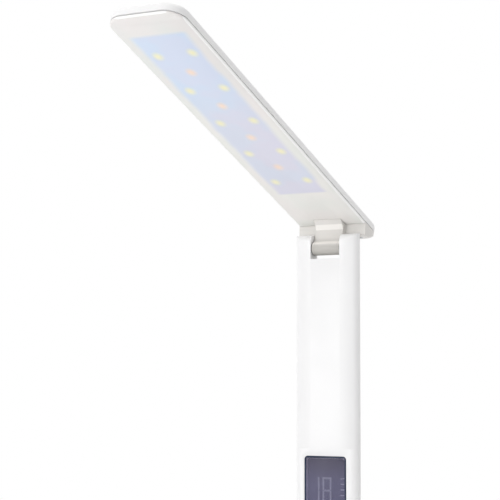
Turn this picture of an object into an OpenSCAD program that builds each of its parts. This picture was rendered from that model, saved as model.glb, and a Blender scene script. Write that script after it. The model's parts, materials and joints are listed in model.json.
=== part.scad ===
// Folding desk lamp: a flat LED head, an arm with a clock display and a weighted base.
// Origin: on the table under the middle of the base. +Z up, X along the pivots, -Y to the front.

/* [Base] */
// Width of the base
base_w = 96; // [84:1:130]
// Length of the base, front to back
base_l = 190; // [178:1:240]
// Height of the base, with its pad
base_h = 17; // [16:0.5:22]
// Radius of the base's corners in plan
base_corner = 20; // [14:1:28]
// Rounding of the base's top edge
base_edge = 5; // [3:0.5:6]
// Wall of the base's covers
base_wall = 2; // [1.6:0.1:2.4]
// Thickness of the pad under the base
pad_t = 1.5; // [1:0.1:2]
// Thickness of the bottom cover
floor_t = 2.5; // [2:0.1:3]
// Distance from the lower pivot to the base's rear edge
pivot_inset = 27; // [24:1:36]
// Width of the ballast plate
ballast_w = 66; // [50:1:70]
// Length of the ballast plate
ballast_l = 128; // [100:1:134]
// Thickness of the ballast plate
ballast_t = 4.5; // [3:0.5:5]

/* [Arm] */
// Distance between the lower and the upper pivot
arm_l = 267; // [264:1:300]
// Width of the arm
arm_w = 45.4; // [44:0.2:52]
// Thickness of the arm
arm_t = 10; // [10:0.2:12]
// Wall of the arm's covers
arm_wall = 1.5; // [1.2:0.1:1.6]
// Reach of the ears past each pivot
ear_reach = 9; // [8.6:0.1:9.4]
// Width of the notch between the ears
notch_w = 21; // [20:0.2:22]
// Depth of the notch past the pivot
notch_depth = 7.1; // [6.8:0.1:9]
// Width of the flat land down the front
land_w = 21; // [18:0.5:24]
// Fall of the shoulders beside the land
shoulder_fall = 0.5; // [0.3:0.1:0.6]

/* [Pivots] */
// Diameter of the pivot pins
pin_d = 4; // [3.6:0.1:4.2]
// Diameter of the bore through a pivot pin, for the lead
pin_bore = 1.8; // [1.6:0.1:2]
// Diameter of the barrels that turn on the pins
barrel_d = 9.2; // [8.8:0.1:9.4]
// Radial running clearance of a barrel on its pin
pin_fit = 0.05; // [0.03:0.01:0.08]
// Thickness of a pivot bracket's sheet
bracket_t = 1.2; // [1:0.1:1.4]
// Depth of a pivot bracket below the pivot
bracket_l = 30; // [26:1:34]
// Thickness of the necks that carry the barrels
neck_t = 8.6; // [8:0.1:8.7]

/* [Head] */
// Distance from the upper pivot to the head's far end
head_reach = 257; // [254:0.5:258]
// Distance from the upper pivot to the head's near end
head_tail = 24.2; // [23:0.2:26]
// Width of the head
head_w = 48.4; // [47:0.2:54]
// Radius of the head's corners in plan
head_corner = 12; // [10:0.5:15]
// Distance from the upper pivot to the head's underside
head_drop = 17; // [16.6:0.1:18]
// Angle of the head above level, as photographed
head_rise = 21; // [0:1:40]
// Height of the top cover
cover_h = 5.5; // [5.2:0.1:6.5]
// Rounding of the top cover's edge
cover_edge = 2.6; // [2:0.1:3]
// Wall of the top cover
cover_wall = 1.5; // [1.3:0.1:1.7]
// Thickness of the diffuser
diffuser_t = 1.4; // [1.2:0.1:1.6]
// Gap of the seam round the head
seam_gap = 0.6; // [0.4:0.1:0.8]
// Depth of the heel under the head's near end
heel_depth = 7; // [6:0.1:7]

/* [LEDs] */
// Distance from the upper pivot to the first pair of LEDs
led_first = 63.8; // [62:0.2:66]
// Distance from one pair of LEDs to the next
led_pitch = 38.2; // [36:0.2:38.4]
// Number of pairs in the outer rows
led_pairs = 5; // [3:1:5]
// Distance from the middle row to an outer row
led_side = 11.2; // [9:0.2:12]
// Length of an LED's case
led_l = 3.5; // [3:0.1:3.6]
// Width of an LED's case
led_w = 2.8; // [2.6:0.1:3]
// Width of the LED board
board_w = 33.6; // [30:0.2:36]
// Thickness of the LED board
board_t = 1; // [0.8:0.1:1.2]

/* [Display] */
// Distance from the upper pivot to the top of the lens
lens_top = 136.5; // [134:0.5:140]
// Width of the lens
lens_w = 30; // [29:0.2:31]
// Height of the lens
lens_h = 62; // [60:0.5:64]
// Thickness of the lens
lens_t = 1; // [0.8:0.1:1.2]
// Radius of the lens's corners
lens_corner = 2.4; // [1.5:0.1:4]
// Height of the large digits
digit_h = 17.2; // [15:0.2:17.6]
// Width of the large digits
digit_w = 6.4; // [6:0.1:6.8]
// Width of a digit's strokes
stroke = 1.2; // [0.8:0.1:1.4]
// Diameter of the buttons
button_d = 5; // [4.6:0.1:5.4]
// Travel of the buttons
button_travel = 0.5; // [0.3:0.05:0.5]
// Distance between the buttons
button_pitch = 10; // [9:0.5:11]
// Diameter of the clock's cell
cell_d = 20; // [16:0.5:20]
// Thickness of the clock's cell
cell_t = 2.5; // [1.6:0.1:2.5]

/* [Hidden] */

$fn = 64;
slip = 0.1;
past = 1;

// Heights in the head's own frame, whose origin is the upper pivot
under_z = head_drop;
lip_z = under_z + diffuser_t;
cover_z = lip_z + seam_gap;
head_top = cover_z + cover_h;
roof_z = head_top - cover_wall;
lip_inset = 0.4;
rim_inset = cover_wall + 0.3;
rim_t = 1.2;
rim_h = 2.2;
led_h = 0.8;
led_gap = 1.2;
led_z = lip_z + led_gap;
board_z = led_z + led_h;
board_near = led_first - led_pitch / 2 + 2;
board_far = led_first + led_pitch * (led_pairs - 1) + led_pitch / 2 + 2;

// Heel, neck and barrel
block_front = 0.3;
heel_front = 2.5;
heel_back = head_tail - 4.7;
flare = 4;
neck_w = notch_w - 1.2;
neck_cut = 0.4;
channel_d = 2.4;

// Places in the base and the arm
fold_gap = 1.5;
pivot_rise = head_top + fold_gap;
pivot_y = base_l / 2 - pivot_inset;
pivot_z = base_h + pivot_rise;
base_floor = pad_t + floor_t;
base_roof = base_h - base_wall;
ear_round = arm_t / 2;
arm_in = arm_t / 2 - arm_wall;
cavity_x = arm_w / 2 - arm_t / 2 + sqrt(pow(arm_t / 2, 2) - pow(arm_in, 2)) - arm_wall + 0.1;
ear_cavity = ear_reach - 3.5;
pad_margin = 5;
pad_top = lens_top - pad_margin;
pad_bottom = lens_top + lens_h + pad_margin;

// Pivot hardware, by distance from the middle along the pin
lug_x = notch_w / 2 + arm_wall + 1;
lug_t = 1.5;
washer_t = 0.5;
disc_t = 0.4;
disc_count = 2;
nut_t = 2.2;
nut_flats = 6;
pin_head_t = 1.5;
pin_head_d = 6.8;
nut_x = lug_x + lug_t + disc_t * disc_count;
pin_end = nut_x + nut_t + 0.3;
lead_d = 1.2;
lead_sides = 10;
lead_x = pin_end + lead_d / 2 + 0.3;

// Screws
screw_d = 2;
screw_head_d = 3.8;
screw_head_t = 1.2;
boss_d = 5;
post_x = arm_w / 2 - 5.8;
post_split = 1;
post_z = [arm_l - 46, 46];
cover_screw_l = arm_t - arm_wall - 0.6;
bracket_screw_x = 8;
bracket_screw_l = arm_wall + bracket_t + 0.4;
bracket_head_t = 0.8;

// Display stack, front to back
glass_t = 1.5;
light_t = 1;
clock_t = 1;
ledge = 1.6;
lens_y = -arm_t / 2;
glass_y = -arm_in;
light_y = glass_y + glass_t;
clock_y = light_y + light_t;
clock_back = clock_y + clock_t;
glass_w = lens_w - 2;
glass_h = lens_h - 2;
strip_h = 3;
lens_z = arm_l - lens_top - lens_h / 2;
clock_top = arm_l - lens_top + 5;
clock_bottom = bracket_l + 1.5;
digit_x = -3.7;
digit_gap = 2.2;
digit_top = 13.7;
digit_drop = 21.2;
switch_w = 4.5;
switch_h = 1.5;
switch_rest = 0.1;
button_rim = 0.8;
button_rim_t = 1.1;
button_proud = 0.7;
button_inner = clock_back + switch_h + switch_rest + button_travel;
clip_t = 0.5;
door_w = cell_d + 4;
door_h = cell_d + 9;
cell_z = clock_bottom + cell_d / 2 + 3;
door_z = cell_z + 2.5;
buzzer_d = 12;
buzzer_t = 2.4;
buzzer_z = door_z + door_h / 2 + 1.5 + buzzer_d / 2;
button_z = buzzer_z + buzzer_d / 2 + 4 + button_pitch;
chip_w = 9;
chip_t = 1.2;
chip_x = -8.5;

// Base parts
seam_z = base_floor + 1;
key_pitch = 22;
panel_w = 74;
panel_l = 24;
panel_t = 1;
panel_y = -base_l / 2 + 34;
mark_t = 0.15;
control_w = 62;
control_l = 30;
control_t = 1.6;
spring_h = 2.2;
spring_d = 9;
spring_wall = 0.8;
part_w = 7;
part_t = 1.4;
part_x = 18;
control_z = base_roof - spring_h - control_t;
ballast_y = 0;
jack_w = 9;
jack_l = 12;
jack_h = 8.6;
jack_z = base_floor + jack_h / 2 + 0.4;
jack_hole = 5.6;
jack_pin = 2.1;
jack_nose = 7.6;
tower_front = 7;
tower_back = 14;
tower_l = tower_front + tower_back;
tower_top = ear_reach + 1.6;
tower_edge = 1.5;
tower_corner = 5;
tower_wall = 3;
tower_screw_x = arm_w / 2 - 7.5;

WHITE = [0.95, 0.95, 0.94];
FROST = [0.86, 0.87, 0.89];
STEEL = [0.66, 0.67, 0.7];
BOARD = [0.93, 0.95, 0.98];
GREEN = [0.1, 0.36, 0.2];
BLACK = [0.07, 0.07, 0.08];

module rounded_rect(w, l, r) {
    square([w - 2 * r, l], center = true);
    square([w, l - 2 * r], center = true);
    for (x = [-1, 1], y = [-1, 1]) translate([x * (w / 2 - r), y * (l / 2 - r)]) circle(r);
}

module slab(w, l, r, t) linear_extrude(t) rounded_rect(w, l, r);

// A rounded plate whose top edge is turned over with radius e
module soft_slab(w, l, r, t, e) {
    steps = 5;
    hull() {
        slab(w, l, r, t - e, $fn = 48);
        for (i = [1:steps]) {
            a = 90 * i / steps;
            in = e * (1 - cos(a));
            translate([0, 0, t - e + e * sin(a) - 0.01])
                slab(w - 2 * in, l - 2 * in, r - in, 0.01, $fn = 48);
        }
    }
}

// A cylinder along X, from x0 to x1
module x_rod(d, x0, x1) translate([x0, 0, 0]) rotate([0, 90, 0]) cylinder(d = d, h = x1 - x0);

// A cylinder along Y, from y0 to y1
module y_rod(d, y0, y1) translate([0, y0, 0]) rotate([-90, 0, 0]) cylinder(d = d, h = y1 - y0);

// The sections of a lead of diameter d through a list of points, mitred at each bend
function unit(v) = v / norm(v);
function across(v) = unit(cross(v, abs(v[2]) < 0.9 ? [0, 0, 1] : [1, 0, 0]));
function first_section(p, v, d) = [for (k = [0:lead_sides - 1])
    p + d / 2 * (cos(360 * k / lead_sides) * across(v) + sin(360 * k / lead_sides) * cross(v, across(v)))];
function sections(points, i, last) = i == len(points) ? [] :
    let (f = unit(points[i] - points[i - 1]),
        n = f + (i < len(points) - 1 ? unit(points[i + 1] - points[i]) : f),
        next = [for (q = last) q + f * ((points[i] - q) * n) / (f * n)])
    concat([next], sections(points, i + 1, next));

module lead(points, d) {
    start = first_section(points[0], unit(points[1] - points[0]), d);
    all = concat([start], sections(points, 1, start));
    n = lead_sides;
    polyhedron(points = [for (s = all) each s], faces = concat(
        [[for (k = [0:n - 1]) k]],
        [for (i = [0:len(all) - 2], k = [0:n - 1])
            [i * n + k, (i + 1) * n + k, (i + 1) * n + (k + 1) % n, i * n + (k + 1) % n]],
        [[for (k = [n - 1:-1:0]) (len(all) - 1) * n + k]]));
}

// A pan-head screw whose head lies above z = 0 and whose shank goes down
module screw(d, l, head_d, head_t) {
    difference() {
        cylinder(d = head_d, h = head_t, $fn = 32);
        for (a = [0, 90]) rotate(a) translate([0, 0, head_t])
            cube([head_d * 0.55, head_d * 0.16, head_t], center = true);
    }
    translate([0, 0, -l]) cylinder(d = d, h = l, $fn = 32);
}

module at_lower() translate([0, pivot_y, pivot_z]) children();
module at_upper() translate([0, pivot_y, pivot_z + arm_l]) children();
module at_head() at_upper() rotate([-head_rise, 0, 0]) children();

// Pivot hardware, with the arm's middle towards -Z

module bracket() color(STEEL) {
    top = notch_depth + arm_wall + 0.4;
    difference() {
        translate([-lug_x - lug_t, arm_in - bracket_t, -bracket_l])
            cube([2 * (lug_x + lug_t), bracket_t, bracket_l - top]);
        for (s = [-1, 1]) translate([s * bracket_screw_x, 0, -(bracket_l + top) / 2])
            y_rod(screw_d + 2 * slip, 0, arm_t);
    }
    for (s = [-1, 1]) difference() {
        union() {
            translate([s * (lug_x + lug_t / 2) - lug_t / 2, -arm_in + 0.5, -bracket_l])
                cube([lug_t, 2 * arm_in - 0.5, bracket_l]);
            x_rod(2 * arm_in - 1, s * (lug_x + lug_t / 2) - lug_t / 2, s * (lug_x + lug_t / 2) + lug_t / 2);
        }
        x_rod(pin_d + 2 * pin_fit, -arm_w, arm_w);
    }
}

module bracket_screws() color(STEEL)
    for (s = [-1, 1])
        translate([s * bracket_screw_x, arm_t / 2 - bracket_head_t, -(bracket_l + notch_depth + arm_wall + 0.4) / 2])
            rotate([-90, 0, 0]) screw(screw_d, bracket_screw_l, screw_head_d, bracket_head_t);

module pin() color(STEEL) difference() {
    union() {
        x_rod(pin_head_d, -lug_x - lug_t - pin_head_t, -lug_x - lug_t);
        x_rod(pin_d, -lug_x - lug_t, pin_end);
    }
    x_rod(pin_bore, -past, pin_end + past);
    translate([-past, 0, 0]) cylinder(d = pin_bore, h = 2 * pin_d, center = true);
}

module friction_washers() color([0.86, 0.85, 0.8])
    for (s = [-1, 1]) difference() {
        translate([s * (notch_w / 2 - washer_t / 2 - 0.02), 0, 0])
            x_rod(barrel_d - 0.6, -washer_t / 2, washer_t / 2);
        x_rod(pin_d + 2 * slip, -arm_w, arm_w);
    }

module disc_springs() color(STEEL)
    for (i = [0:disc_count - 1]) difference() {
        x_rod(pin_head_d, lug_x + lug_t + i * disc_t, lug_x + lug_t + (i + 1) * disc_t);
        x_rod(pin_d + 2 * slip, -arm_w, arm_w);
    }

module nut() color(STEEL) difference() {
    translate([nut_x, 0, 0]) rotate([0, 90, 0]) cylinder(d = nut_flats / cos(30), h = nut_t, $fn = 6);
    x_rod(pin_d + 2 * pin_fit, -arm_w, arm_w);
}

// Base

module base_plan(t, inset) slab(base_w - 2 * inset, base_l - 2 * inset, base_corner - inset, t);

base_screw_at = [for (x = [-1, 1], y = [-1, 1]) [x * (base_w / 2 - 9), y * (base_l / 2 - 24)]];
ballast_screw_at = [for (y = [-1, 1]) [0, ballast_y + y * (ballast_l / 2 - 6)]];
neck_screw_at = [for (x = [-1, 1], y = [-1, 1])
    [x * tower_screw_x, pivot_y + (tower_back - tower_front) / 2 + y * (tower_l / 2 - 4.5)]];
control_screw_at = [for (x = [-1, 1], y = [-1, 1])
    [x * (control_w / 2 - 3), panel_y + y * (control_l / 2 - 3)]];
key_at = [for (i = [-1:1]) [i * key_pitch, panel_y]];

module base_pad() color([0.2, 0.2, 0.21]) base_plan(pad_t, 4);

module base_bottom_cover() color(WHITE) difference() {
    union() {
        translate([0, 0, pad_t]) base_plan(floor_t, 0.8);
        translate([0, 0, pad_t]) base_plan(floor_t + 2, base_wall + 0.3);
    }
    translate([0, 0, base_floor]) base_plan(base_h, base_wall + 1.5);
    for (p = base_screw_at) translate([p[0], p[1], 0]) {
        cylinder(d = screw_d + 2 * slip, h = base_h);
        cylinder(d = screw_head_d + 2 * slip, h = pad_t + screw_head_t);
    }
    for (p = ballast_screw_at) translate([p[0], p[1], pad_t]) cylinder(d = screw_d + 2 * slip, h = base_h);
    translate([0, base_l / 2 - base_wall - 2, jack_z])
        cube([jack_w + 1, 6, jack_h + 1], center = true);
}

module base_top_cover() color(WHITE) difference() {
    union() {
        difference() {
            translate([0, 0, base_floor])
                soft_slab(base_w, base_l, base_corner, base_h - base_floor, base_edge);
            translate([0, 0, base_floor - past]) base_plan(base_roof - base_floor + past, base_wall);
        }
        for (p = base_screw_at) translate([p[0], p[1], base_floor])
            cylinder(d = boss_d + 1, h = base_roof - base_floor + 0.5);
        for (p = control_screw_at) translate([p[0], p[1], control_z + control_t])
            cylinder(d = boss_d, h = base_roof - control_z - control_t + 0.5);
        intersection() {
            translate([-panel_w / 2 - 2, panel_y - panel_l / 2 - 2, base_roof - panel_t / 2])
                cube([panel_w + 4, panel_l + 4, base_wall]);
            translate([0, 0, base_roof - past]) base_plan(base_wall, 1);
        }
    }
    for (p = base_screw_at) translate([p[0], p[1], base_floor - past])
        cylinder(d = screw_d + slip, h = 7);
    for (p = control_screw_at) translate([p[0], p[1], control_z])
        cylinder(d = screw_d + slip, h = base_roof - control_z + 0.2);
    for (p = neck_screw_at) translate([p[0], p[1], base_roof - past])
        cylinder(d = screw_d + 2 * slip, h = base_wall + 2 * past);
    translate([0, pivot_y, base_roof - past]) cylinder(d = channel_d + 2, h = base_wall + 2 * past);
    translate([0, panel_y, base_h - panel_t]) slab(panel_w + 2 * slip, panel_l + 2 * slip, 4, base_h);
    translate([0, base_l / 2 - base_wall, jack_z]) y_rod(jack_nose + 2 * slip, -base_wall, 2 * base_wall);
}

module base_screws() color(STEEL)
    for (p = base_screw_at) translate([p[0], p[1], pad_t + screw_head_t])
        rotate([180, 0, 0]) screw(screw_d, floor_t - screw_head_t + 5, screw_head_d, screw_head_t);

module ballast_plate() color([0.42, 0.43, 0.45]) translate([0, ballast_y, base_floor]) difference() {
    slab(ballast_w, ballast_l, 6, ballast_t);
    for (p = ballast_screw_at) translate([p[0], p[1] - ballast_y, -past])
        cylinder(d = screw_d + 2 * slip, h = base_h);
}

module ballast_screws() color(STEEL)
    for (p = ballast_screw_at) translate([p[0], p[1], base_floor + ballast_t])
        screw(screw_d, ballast_t + floor_t - 0.2, screw_head_d + 1, screw_head_t);

module touch_panel() color([0.9, 0.91, 0.92])
    translate([0, panel_y, base_h - panel_t]) slab(panel_w, panel_l, 4 - slip, panel_t);

module key_mark(i) {
    if (i == 1) {
        difference() {
            cylinder(d = 7, h = mark_t);
            translate([0, 0, -past]) cylinder(d = 5.4, h = mark_t + 2 * past);
            translate([-1, 0, -past]) cube([2, 5, mark_t + 2 * past]);
        }
        translate([-0.4, 0, 0]) cube([0.8, 4, mark_t]);
    } else {
        translate([-3, -0.4, 0]) cube([6, 0.8, mark_t]);
        if (i == 2) translate([-0.4, -3, 0]) cube([0.8, 6, mark_t]);
    }
}

module key_marks() color([0.45, 0.47, 0.5])
    for (i = [0:2]) translate([key_at[i][0], key_at[i][1], base_h]) key_mark(i);

module touch_springs() color(STEEL)
    for (p = key_at) translate([p[0], p[1], control_z + control_t]) difference() {
        cylinder(d = spring_d, h = spring_h - panel_t / 2);
        translate([0, 0, -past]) cylinder(d = spring_d - 2 * spring_wall, h = spring_h + 2 * past);
    }

module control_board() color(GREEN) difference() {
    translate([-control_w / 2, panel_y - control_l / 2, control_z]) cube([control_w, control_l, control_t]);
    for (p = control_screw_at) translate([p[0], p[1], control_z - past])
        cylinder(d = screw_d + 2 * slip, h = control_t + 2 * past);
}

module board_parts() color(BLACK) translate([0, panel_y, control_z]) {
    translate([-part_x, -part_w / 2, -part_t]) cube([part_w, part_w, part_t]);
    translate([-part_w / 2, -part_w / 2, -part_t]) cube([part_w - 2, part_w - 1, part_t]);
    translate([part_x / 2, 0, -part_t]) cylinder(d = part_w, h = part_t);
    translate([part_x, -part_w - 3, -part_t]) cube([part_w - 1, part_w - 2, part_t]);
}

module board_screws() color(STEEL)
    for (p = control_screw_at) translate([p[0], p[1], control_z])
        rotate([180, 0, 0]) screw(screw_d, base_roof - control_z - 0.2, screw_head_d, screw_head_t);

module dc_jack() color(BLACK) translate([0, base_l / 2 - base_wall, jack_z]) {
    difference() {
        union() {
            translate([-jack_w / 2, -jack_l, -jack_h / 2]) cube([jack_w, jack_l, jack_h]);
            y_rod(jack_nose, -past, base_wall - 0.2);
        }
        y_rod(jack_hole, -jack_l + 2, base_wall + past);
    }
    y_rod(jack_pin, -jack_l + 1, base_wall - 1.2);
}

module base_lead() color([0.12, 0.12, 0.13]) {
    low = base_roof - lead_d / 2 - 0.1;
    edge = control_z + control_t / 2;
    board_back = panel_y + control_l / 2;
    jack_back = base_l / 2 - base_wall - jack_l;
    lead([[0, pivot_y, pivot_z - pin_d / 2 - 0.6], [0, pivot_y, low], [-24, pivot_y - 18, low],
        [-24, board_back + 8, edge], [-24, board_back, edge]], lead_d);
    lead([[0, jack_back, jack_z], [0, jack_back - 3, jack_z], [24, pivot_y - 18, low],
        [24, board_back + 8, edge], [24, board_back, edge]], lead_d);
}

module base_neck() color(WHITE) at_lower() difference() {
    union() {
        translate([0, (tower_back - tower_front) / 2, -pivot_rise])
            soft_slab(arm_w, tower_l, tower_corner, pivot_rise - tower_top, tower_edge);
        translate([-neck_w / 2, -neck_t / 2, -tower_top - past]) cube([neck_w, neck_t, tower_top + past]);
        x_rod(barrel_d, -neck_w / 2, neck_w / 2);
    }
    x_rod(pin_d + 2 * pin_fit, -arm_w, arm_w);
    translate([0, 0, -pivot_rise - past]) cylinder(d = channel_d, h = pivot_rise + past);
    for (p = neck_screw_at) translate([p[0], p[1] - pivot_y, -pivot_rise - past])
        cylinder(d = screw_d + slip, h = 8);
}

module base_neck_screws() color(STEEL)
    for (p = neck_screw_at) translate([p[0], p[1], base_roof])
        rotate([180, 0, 0]) screw(screw_d, base_wall + 6, screw_head_d, screw_head_t);

// Arm

module arm_outline() {
    square([arm_w - arm_t, arm_t], center = true);
    for (s = [-1, 1]) translate([s * (arm_w - arm_t) / 2, 0]) circle(d = arm_t);
}

// The arm's outer form, with round ear ends and both notches
module arm_form() difference() {
    intersection() {
        translate([0, 0, -ear_reach]) linear_extrude(arm_l + 2 * ear_reach) arm_outline();
        union() {
            translate([-arm_w, -arm_t, -ear_reach + ear_round])
                cube([2 * arm_w, 2 * arm_t, arm_l + 2 * (ear_reach - ear_round)]);
            for (z = [-ear_reach + ear_round, arm_l + ear_reach - ear_round])
                translate([0, 0, z]) x_rod(arm_t, -arm_w, arm_w);
        }
    }
    translate([-notch_w / 2, -arm_t, arm_l - notch_depth]) cube([notch_w, 2 * arm_t, arm_l]);
    translate([-notch_w / 2, -arm_t, notch_depth - arm_l]) cube([notch_w, 2 * arm_t, arm_l]);
}

// A shallow wedge off one shoulder, between heights z0 and z1
module shoulder(s, z0, z1) translate([0, 0, z0]) linear_extrude(z1 - z0)
    polygon([[s * land_w / 2, -arm_t / 2], [s * (arm_w / 2 + past), -arm_t / 2 + shoulder_fall * 1.6],
        [s * (arm_w / 2 + past), -arm_t], [s * land_w / 2, -arm_t]]);

module arm_cavity() {
    translate([-cavity_x, -arm_in, notch_depth + arm_wall])
        cube([2 * cavity_x, 2 * arm_in, arm_l - 2 * (notch_depth + arm_wall)]);
    for (s = [-1, 1]) translate([(s < 0 ? -cavity_x : notch_w / 2 + arm_wall), -arm_in, -ear_cavity])
        cube([cavity_x - notch_w / 2 - arm_wall, 2 * arm_in, arm_l + 2 * ear_cavity]);
    for (z = [0, arm_l]) translate([0, 0, z]) x_rod(pin_d + 1, -cavity_x, cavity_x);
}

module arm_front_cover() color(WHITE) at_lower() difference() {
    union() {
        difference() {
            arm_form();
            arm_cavity();
            translate([-arm_w, 0, -arm_l]) cube([2 * arm_w, arm_t, 3 * arm_l]);
            for (s = [-1, 1]) {
                shoulder(s, arm_l - pad_top, arm_l + 2 * ear_reach);
                shoulder(s, -2 * ear_reach, arm_l - pad_bottom);
            }
        }
        for (x = [-post_x, post_x], z = post_z) translate([x, 0, z]) y_rod(boss_d, -arm_in - 0.3, post_split);
    }
    for (x = [-post_x, post_x], z = post_z) translate([x, 0, z]) y_rod(screw_d + slip, -arm_in + 0.3, arm_t);
    translate([0, lens_y + lens_t, lens_z]) rotate([90, 0, 0])
        slab(lens_w + 2 * slip, lens_h + 2 * slip, lens_corner + slip, lens_t + past);
    translate([0, 0, lens_z]) rotate([90, 0, 0])
        slab(lens_w - 2 * ledge, lens_h - 2 * ledge, lens_corner - 1, arm_t);
}

module arm_rear_cover() color(WHITE) at_lower() difference() {
    union() {
        difference() {
            arm_form();
            arm_cavity();
            translate([-arm_w, -arm_t, -arm_l]) cube([2 * arm_w, arm_t, 3 * arm_l]);
        }
        for (x = [-post_x, post_x], z = post_z) translate([x, 0, z]) y_rod(boss_d, post_split, arm_t / 2 - 0.2);
    }
    for (x = [-post_x, post_x], z = post_z) translate([x, 0, z]) {
        y_rod(screw_d + 2 * slip, 0, arm_t);
        y_rod(screw_head_d + 2 * slip, arm_t / 2 - screw_head_t, arm_t);
    }
    for (z = [arm_l - (bracket_l + notch_depth + arm_wall + 0.4) / 2, (bracket_l + notch_depth + arm_wall + 0.4) / 2],
        s = [-1, 1]) translate([s * bracket_screw_x, 0, z]) {
            y_rod(screw_d + 2 * slip, 0, arm_t);
            y_rod(screw_head_d + 2 * slip, arm_t / 2 - bracket_head_t, arm_t);
        }
    for (i = [-1:1]) translate([0, 0, button_z + i * button_pitch]) y_rod(button_d + 2 * slip, 0, arm_t);
    translate([0, arm_t, door_z]) rotate([90, 0, 0]) slab(door_w + 2 * slip, door_h + 2 * slip, 2 + slip, arm_t);
}

module arm_screws() color(STEEL) at_lower()
    for (x = [-post_x, post_x], z = post_z) translate([x, arm_t / 2 - screw_head_t, z])
        rotate([-90, 0, 0]) screw(screw_d, cover_screw_l - screw_head_t, screw_head_d, screw_head_t);

module arm_lead() color([0.12, 0.12, 0.13]) at_lower() {
    y = clock_back + lead_d / 2 + 0.05;
    lead([[0.6, 0, arm_l], [lead_x, 0, arm_l], [lead_x, 0, arm_l - bracket_l - 2],
        [10, y, arm_l - bracket_l - 11], [10, y, clock_top - 4]], lead_d);
    lead([[0.6, 0, 0], [lead_x, 0, 0], [lead_x, 0, clock_bottom + 3],
        [glass_w / 2 - 0.8, y, clock_bottom + 8]], lead_d);
}

module display_lens() color([0.1, 0.1, 0.14]) at_lower()
    translate([0, lens_y + lens_t, lens_z]) rotate([90, 0, 0]) slab(lens_w, lens_h, lens_corner, lens_t);

module display_glass() color([0.28, 0.3, 0.34]) at_lower()
    translate([-glass_w / 2, glass_y, lens_z - glass_h / 2]) cube([glass_w, glass_t, glass_h]);

// Which of the seven strokes a digit lights: top, three levels of sides, middle, bottom
STROKES = [[1, 1, 1, 1, 1, 1, 0], [0, 1, 1, 0, 0, 0, 0], [1, 1, 0, 1, 1, 0, 1], [1, 1, 1, 1, 0, 0, 1],
    [0, 1, 1, 0, 0, 1, 1], [1, 0, 1, 1, 0, 1, 1], [1, 0, 1, 1, 1, 1, 1], [1, 1, 1, 0, 0, 0, 0],
    [1, 1, 1, 1, 1, 1, 1], [1, 1, 1, 1, 0, 1, 1]];

// A digit w wide and h high, from its top left corner, strokes s wide
module digit(n, w, h, s) {
    gap = 0.15;
    on = STROKES[n];
    if (on[0] == 1) translate([s, -s]) square([w - 2 * s, s]);
    if (on[1] == 1) translate([w - s, -h / 2 + gap]) square([s, h / 2 - gap]);
    if (on[2] == 1) translate([w - s, -h]) square([s, h / 2 - gap]);
    if (on[3] == 1) translate([s, -h]) square([w - 2 * s, s]);
    if (on[4] == 1) translate([0, -h]) square([s, h / 2 - gap]);
    if (on[5] == 1) translate([0, -h / 2 + gap]) square([s, h / 2 - gap]);
    if (on[6] == 1) translate([s, -h / 2 - s / 2]) square([w - 2 * s, s]);
}

module display_marks() {
    small = 0.3;
    left = digit_x - digit_gap / 2 - digit_w;
    for (row = [0, 1], i = [0, 1])
        translate([left + i * (digit_w + digit_gap), lens_h / 2 - digit_top - row * digit_drop])
            digit([[1, 8], [3, 0]][row][i], digit_w, digit_h, stroke);
    for (i = [0:3]) translate([left + 1 + i * 3.3 + (i > 1 ? 1.4 : 0), -lens_h / 2 + 7.6])
        digit([1, 2, 2, 5][i], digit_w * small + 0.4, digit_h * small - 0.4, stroke * small + 0.15);
    for (i = [0:6]) translate([lens_w / 2 - 4.6, lens_h / 2 - digit_top - 1 - i * 3.6]) square([2.8, 0.8]);
}

module display_digits() color([0.75, 0.78, 0.85]) at_lower()
    translate([0, glass_y, lens_z]) rotate([90, 0, 0]) linear_extrude(0.12) display_marks();

module backlight_plate() color([0.8, 0.85, 0.95]) at_lower()
    translate([-glass_w / 2 + 1, light_y, lens_z - glass_h / 2 + strip_h + 1])
        cube([glass_w - 2, light_t, glass_h - 2 * strip_h - 2]);

module display_strips() color([0.85, 0.5, 0.55]) at_lower()
    for (s = [-1, 1]) translate([-glass_w / 2 + 2, light_y, lens_z + s * (glass_h / 2 - strip_h / 2) - strip_h / 2])
        cube([glass_w - 4, light_t, strip_h]);

module clock_board() color(GREEN) at_lower()
    translate([-glass_w / 2, clock_y, clock_bottom]) cube([glass_w, clock_t, clock_top - clock_bottom]);

module clock_chip() color(BLACK) at_lower() translate([chip_x, clock_back, button_z + button_pitch / 2])
    translate([-chip_w / 2, 0, -chip_w / 2]) cube([chip_w, chip_t, chip_w]);

module alarm_buzzer() color(BLACK) at_lower() translate([0, clock_back, buzzer_z])
    difference() {
        y_rod(buzzer_d, 0, buzzer_t);
        y_rod(buzzer_d / 6, buzzer_t - 1, 2 * buzzer_t);
    }

module button_switches() color([0.15, 0.15, 0.16]) at_lower()
    for (i = [-1:1]) translate([0, clock_back, button_z + i * button_pitch]) {
        translate([-switch_w / 2, 0, -switch_w / 2]) cube([switch_w, switch_h - 0.4, switch_w]);
        y_rod(2, 0, switch_h);
    }

module button(i) color(WHITE) at_lower() translate([0, 0, button_z + i * button_pitch]) {
    y_rod(button_d + 2 * button_rim, arm_in - 0.1 - button_rim_t, arm_in - 0.1);
    y_rod(button_d, button_inner, arm_t / 2 + button_proud);
}

module set_button() button(1);
module up_button() button(0);
module down_button() button(-1);

module coin_cell() color([0.76, 0.77, 0.79]) at_lower() translate([0, clock_back + clip_t, cell_z]) {
    y_rod(cell_d, 0, cell_t * 0.8);
    y_rod(cell_d - 2.4, 0, cell_t);
}

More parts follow.
